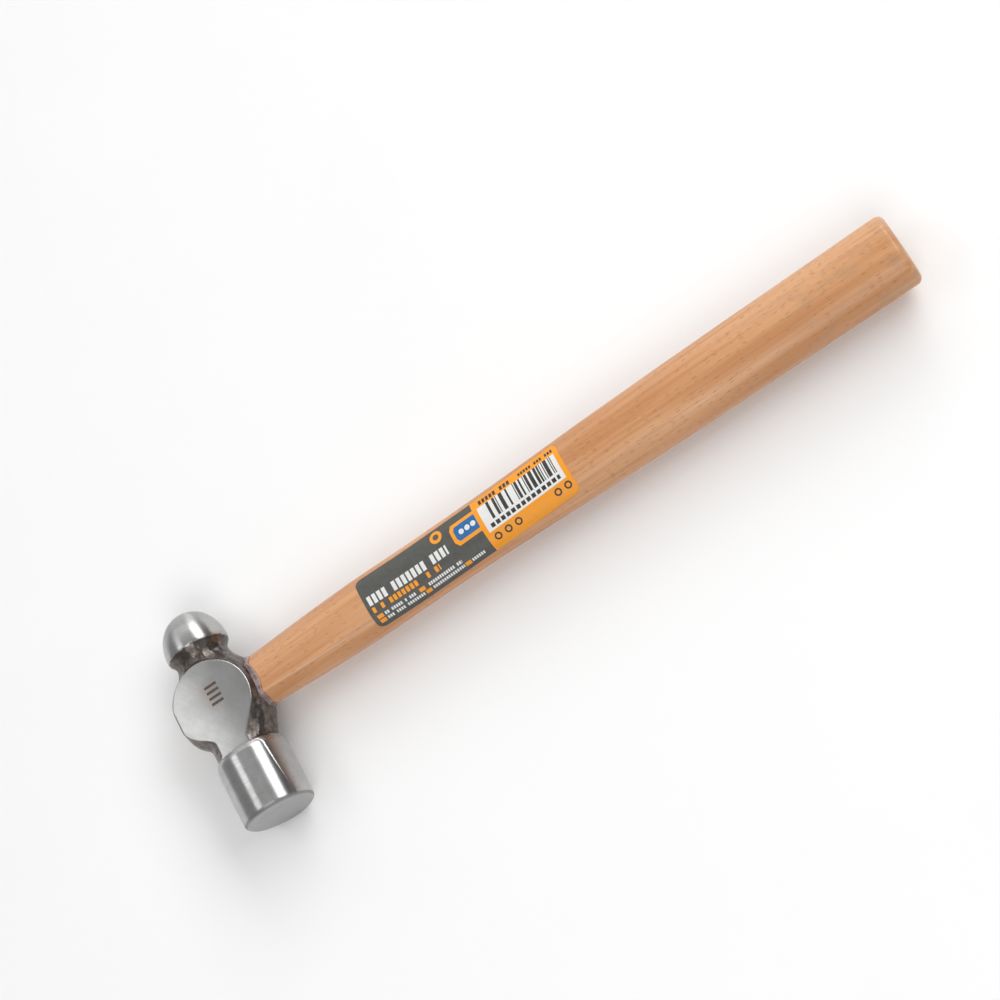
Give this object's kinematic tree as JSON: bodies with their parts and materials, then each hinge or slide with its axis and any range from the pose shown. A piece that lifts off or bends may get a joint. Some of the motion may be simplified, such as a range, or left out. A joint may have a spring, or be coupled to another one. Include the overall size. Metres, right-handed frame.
{
  "type": "ball pein hammer",
  "caption": "Small ball pein hammer: forged steel head with ground flat cheeks on an oval beech handle, wedged through the eye.",
  "frame": {"origin": "centre of the flat striking face", "axes": "+X along the handle from the head to the butt; +Y along the head from the striking face to the top of the ball; +Z out of the cheek that faces up when the hammer lies on its side"},
  "size_m": [0.29, 0.08, 0.0258],
  "materials": {
    "head_steel": "ground and polished poll, cheeks and ball, dark forge scale between them",
    "beech": "lacquered beech with short dark ray flecks",
    "wedge_wood": "bare hardwood end grain",
    "wedge_steel": "mild steel, lightly oxidised",
    "adhesive": "set resin, translucent grey-purple, glossy",
    "label_film": "printed self-adhesive film, satin"
  },
  "bodies": {
    "root": {"head": "head_steel", "handle": "beech", "wood_wedge": "wedge_wood", "steel_wedge": "wedge_steel", "adhesive_bead": "adhesive", "label": "label_film"}
  },
  "joints": []
}
